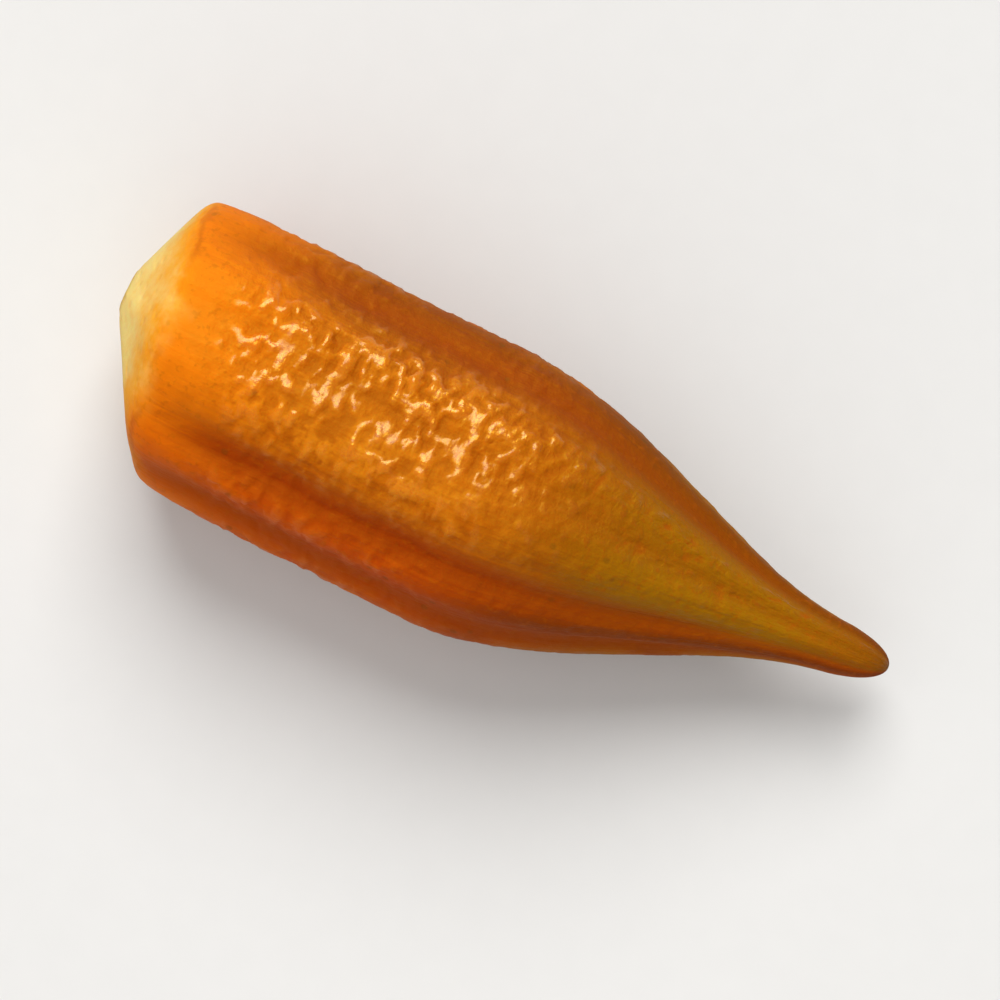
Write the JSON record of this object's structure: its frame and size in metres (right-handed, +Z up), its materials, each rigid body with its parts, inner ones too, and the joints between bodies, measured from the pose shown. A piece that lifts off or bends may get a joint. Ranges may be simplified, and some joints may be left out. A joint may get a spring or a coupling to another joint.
{
  "type": "okra pod",
  "caption": "Small cooked okra pod lying on its side: ribbed golden body, cap shaved to a short faceted cone, long taper to a narrow blunt tip.",
  "frame": {"origin": "middle of the pod's length and width, on the plane that it lies on", "axes": "+X along the pod from the shaved cap to the tip, +Y across it, +Z up from the surface that it lies on"},
  "size_m": [0.0344, 0.012, 0.0112],
  "materials": {
    "okra_skin": "gloss"
  },
  "bodies": {
    "root": {"okra_pod": "okra_skin"}
  },
  "joints": []
}
